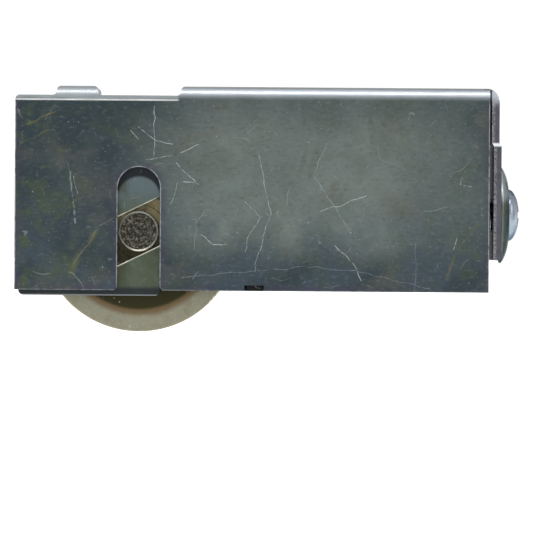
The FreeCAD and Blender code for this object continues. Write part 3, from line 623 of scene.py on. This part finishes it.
ring_finish = steel_finish("ring_ground_steel", (0.52, 0.52, 0.52), (0.33, 0.32, 0.30), 0.20)
shield_finish = steel_finish("shield_pressed_steel", (0.38, 0.38, 0.37), (0.22, 0.21, 0.19), 0.30)
ball_finish = steel_finish("ball_polished_steel", (0.74, 0.74, 0.75), (0.55, 0.55, 0.56), 0.06)
cage_finish = steel_finish("cage_brass", (0.56, 0.41, 0.18), (0.36, 0.24, 0.10), 0.26)
for node, material in (
        ("bearing_inner_ring", ring_finish), ("bearing_outer_ring", ring_finish),
        ("shield_front", shield_finish), ("shield_back", shield_finish),
        ("ball_cage_front", cage_finish), ("ball_cage_back", cage_finish),
        *((f"ball_{number}", ball_finish) for number in range(1, 10))):
    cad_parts[node].data.materials.clear()
    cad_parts[node].data.materials.append(material)


# ---------------------------------------------------------------- Axle
# Two flanged steel bushes drawn together by a rivet. Each end face has a painted highlight
# on its chamfer and is dark and dimpled inside, where the rivet was headed.

neck_r, pin_r, face_y = 3.185, 2.05, 7.9
axle_finish, at = start_finish("axle_dull_steel")
bronze, dark_bronze, shaded = (0.120, 0.105, 0.058), (0.050, 0.042, 0.024), (0.012, 0.011, 0.008)
x, y, z = at.axes()
across, up = abs(y - wheel_y), z - wheel_z
radius = up.hypot(x - wheel_x)
film = plain(at, bronze).tint(dark_bronze, at.noise(0.5, 3.0).ramp(0.40, 0.62) * 0.8)
film = film.tint(shaded, up.ramp(0.5, -2.8) * 0.85)

pitted, pit_crest, seam_brown = (0.018, 0.018, 0.014), (0.15, 0.145, 0.12), (0.13, 0.11, 0.085)
on_face = across.ramp(face_y - 0.06, face_y - 0.01) * radius.ramp(neck_r - 0.26, neck_r - 0.34)
pits = at.noise(3.4, 4.0, 0.75, 0.6)
seam = abs(radius - pin_r).ramp(0.13, 0.04)
face = plain(at, pitted).tint(pit_crest, pits.ramp(0.48, 0.64) * 0.8)
film = film.tint(face.tint(seam_brown, seam * 0.4), on_face)

# painted highlight round the end faces' chamfers
chamfer_highlight = (0.72, 0.70, 0.60)
chamfer = radius.ramp(neck_r - 0.34, neck_r - 0.24) * across.ramp(face_y - 0.45, face_y - 0.25)
film = film.tint(chamfer_highlight, chamfer * 0.9)
end_finish(at, film, 0.24 + on_face * 0.2 + pits * 0.10, pits * on_face + seam * 0.4 * on_face,
           0.07, Metallic=1.0)

# the back bush's shoulder bears on the carriage's wall, and gets a hair of air there
shoulder_y, air = 5.25, 0.01
for name, node, slot in (("axle_neck_front", "axle_bush_front", "axle_steel"),
                         ("axle_neck_back", "axle_bush_back", "axle_steel"),
                         ("axle_pin", "axle_rivet", "rivet_steel")):
    part = piece_from(name, node, 0.04)
    for vertex in part.data.vertices:
        if abs(vertex.co.y / MM - shoulder_y) < air:
            vertex.co.y -= air * MM
    part.data.materials.append(axle_finish)
    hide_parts(node)
    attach(part, "axle")


# ---------------------------------------------------------------- Floor, light and camera
# A pale floor just below the wheel's lowest place, a bright even room, one soft strip
# overhead that draws the line along the bends, and two wider lights for the round parts.

floor_drop, floor_half, room_light = 3.1, 4000, 1.05
floor_finish, at = start_finish("floor_pale")
tone = plain(at, (0.86, 0.86, 0.86)).tint((0.84, 0.84, 0.84), at.noise(0.02, 2.0))
end_finish(at, tone, 0.9, Emission_Color=(1, 1, 1, 1), Emission_Strength=0.8)
ground = bmesh.new()
bmesh.ops.create_grid(ground, x_segments=1, y_segments=1, size=floor_half * MM)
bmesh.ops.translate(ground, verts=ground.verts, vec=(0, 0, cad_box[0].z - floor_drop * MM))
floor_mesh = mesh_from("floor", ground)
floor_mesh.materials.append(floor_finish)
floor = bpy.data.objects.new("floor", floor_mesh)
bpy.context.scene.collection.objects.link(floor)

world = bpy.data.worlds.new("room")
world.use_nodes = True
room = world.node_tree.nodes["Background"]
room.inputs["Color"].default_value = (1, 1, 1, 1)
room.inputs["Strength"].default_value = room_light
bpy.context.scene.world = world

aim = Vector((0.0, 0.0, -0.02))
for name, place, size, depth, watts in (
        ("strip_above", (0.0, -0.16, 0.30), 0.40, 0.05, 0.55),
        ("soft_left", (-0.45, -0.45, 0.42), 0.30, 0.30, 1.0),
        ("soft_right", (0.55, -0.25, 0.20), 0.20, 0.30, 0.5)):
    lamp = bpy.data.lights.new(name, "AREA")
    lamp.shape, lamp.size, lamp.size_y, lamp.energy = "RECTANGLE", size, depth, watts
    light = bpy.data.objects.new(name, lamp)
    light.location = place
    light.rotation_euler = (aim - light.location).to_track_quat("-Z", "Y").to_euler()
    bpy.context.scene.collection.objects.link(light)

lens, sensor, view_width = 300.0, 36.0, 83.75
centre_x, centre_z, roll, elevation = 2.32, -28.25, -0.42, 0.3
camera_data = bpy.data.cameras.new("camera")
camera_data.lens, camera_data.sensor_width = lens, sensor
camera_data.clip_start = 0.01
camera = bpy.data.objects.new("camera", camera_data)
reach, tilt = view_width * lens / sensor * MM, math.radians(elevation)
camera.location = (centre_x * MM, -wall_out * MM - reach * math.cos(tilt),
                   centre_z * MM + reach * math.sin(tilt))
camera.rotation_euler = (math.radians(90) - tilt, math.radians(roll), 0)
bpy.context.scene.collection.objects.link(camera)
bpy.context.scene.camera = camera
bpy.context.scene.view_settings.view_transform = "Standard"
